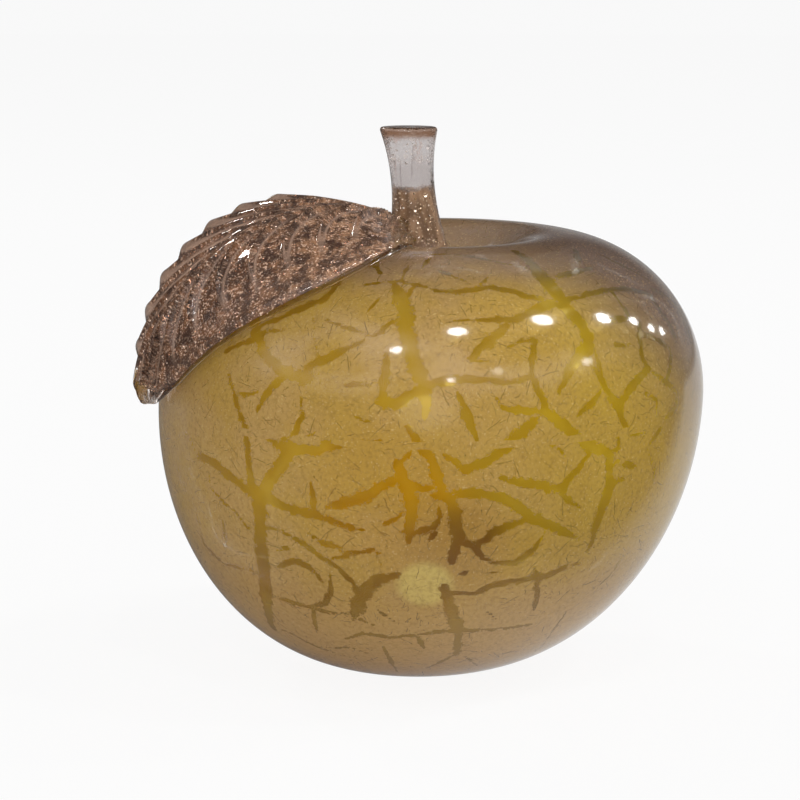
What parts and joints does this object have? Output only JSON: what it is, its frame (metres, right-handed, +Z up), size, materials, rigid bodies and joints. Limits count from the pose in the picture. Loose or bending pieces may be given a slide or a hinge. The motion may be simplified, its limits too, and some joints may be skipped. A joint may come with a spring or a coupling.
{
  "type": "art glass apple",
  "caption": "Blown glass apple ornament: clear cased amber body with crackled gilt leaf, a flared clear stem and a ribbed copper-flecked leaf laid over one shoulder. Stands on a ground flat.",
  "frame": {"origin": "centre of the ground flat that the apple stands on", "axes": "+Z up through the stem, -Y towards the front, -X towards the leaf"},
  "size_m": [0.135, 0.1294, 0.1287],
  "materials": {
    "clear_glass": "fire-polished clear glass",
    "gilt_leaf": "torn metal leaf fused between two glass layers",
    "amber_glass": "transparent amber glass",
    "gold_fleck_glass": "clear glass with gold flecks",
    "copper_fleck_glass": "glass packed with copper flecks"
  },
  "bodies": {
    "root": {"clear_casing": "clear_glass", "gilt_film": "gilt_leaf", "amber_bubble": "amber_glass", "stem_jacket": "clear_glass", "stem_core": "gold_fleck_glass", "leaf_jacket": "clear_glass", "leaf_core": "copper_fleck_glass"}
  },
  "joints": []
}
